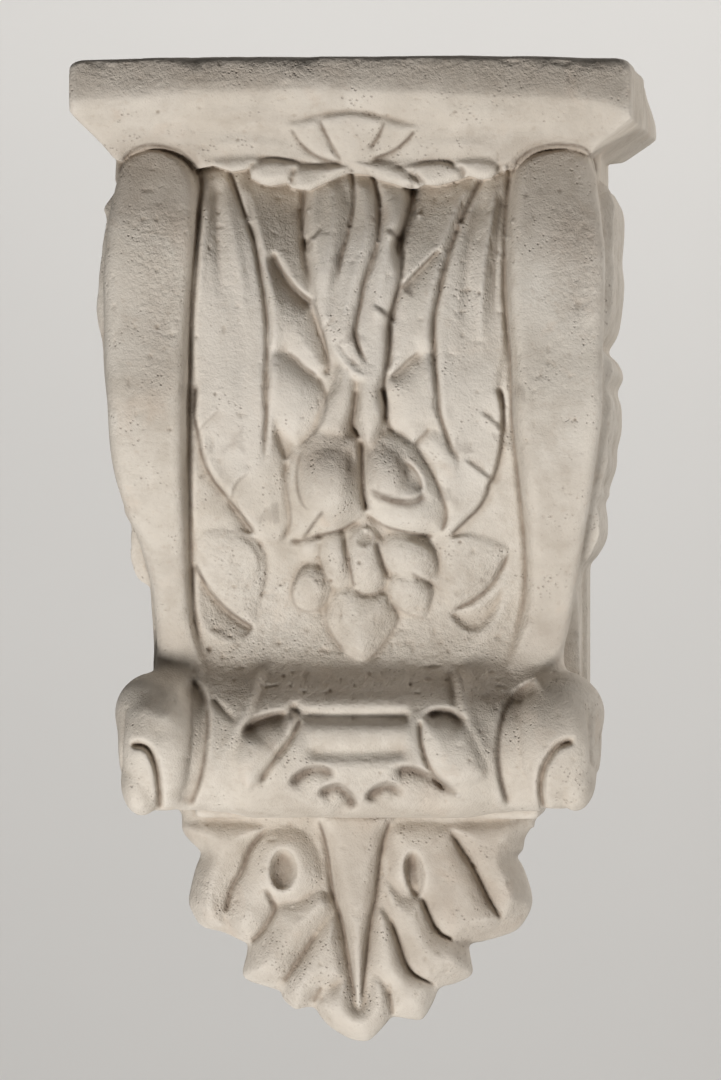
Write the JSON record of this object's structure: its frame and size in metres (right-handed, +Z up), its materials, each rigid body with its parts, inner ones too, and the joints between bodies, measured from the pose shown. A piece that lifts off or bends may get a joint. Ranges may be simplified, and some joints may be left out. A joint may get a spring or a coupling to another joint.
{
  "type": "console bracket",
  "caption": "Cast plaster corbel for a wall: a moulded abacus on a scrolled body with acanthus, fruit and side bands, a rolled foot and a hanging leaf.",
  "frame": {"origin": "middle of the flat back face that lies against the wall, half way up the bracket", "axes": "+Y out of the back face into the wall, +X to the right of someone who faces the bracket, +Z up"},
  "size_m": [0.212, 0.125, 0.3592],
  "materials": {
    "plaster": "matte"
  },
  "bodies": {
    "root": {"console_bracket": "plaster"}
  },
  "joints": []
}
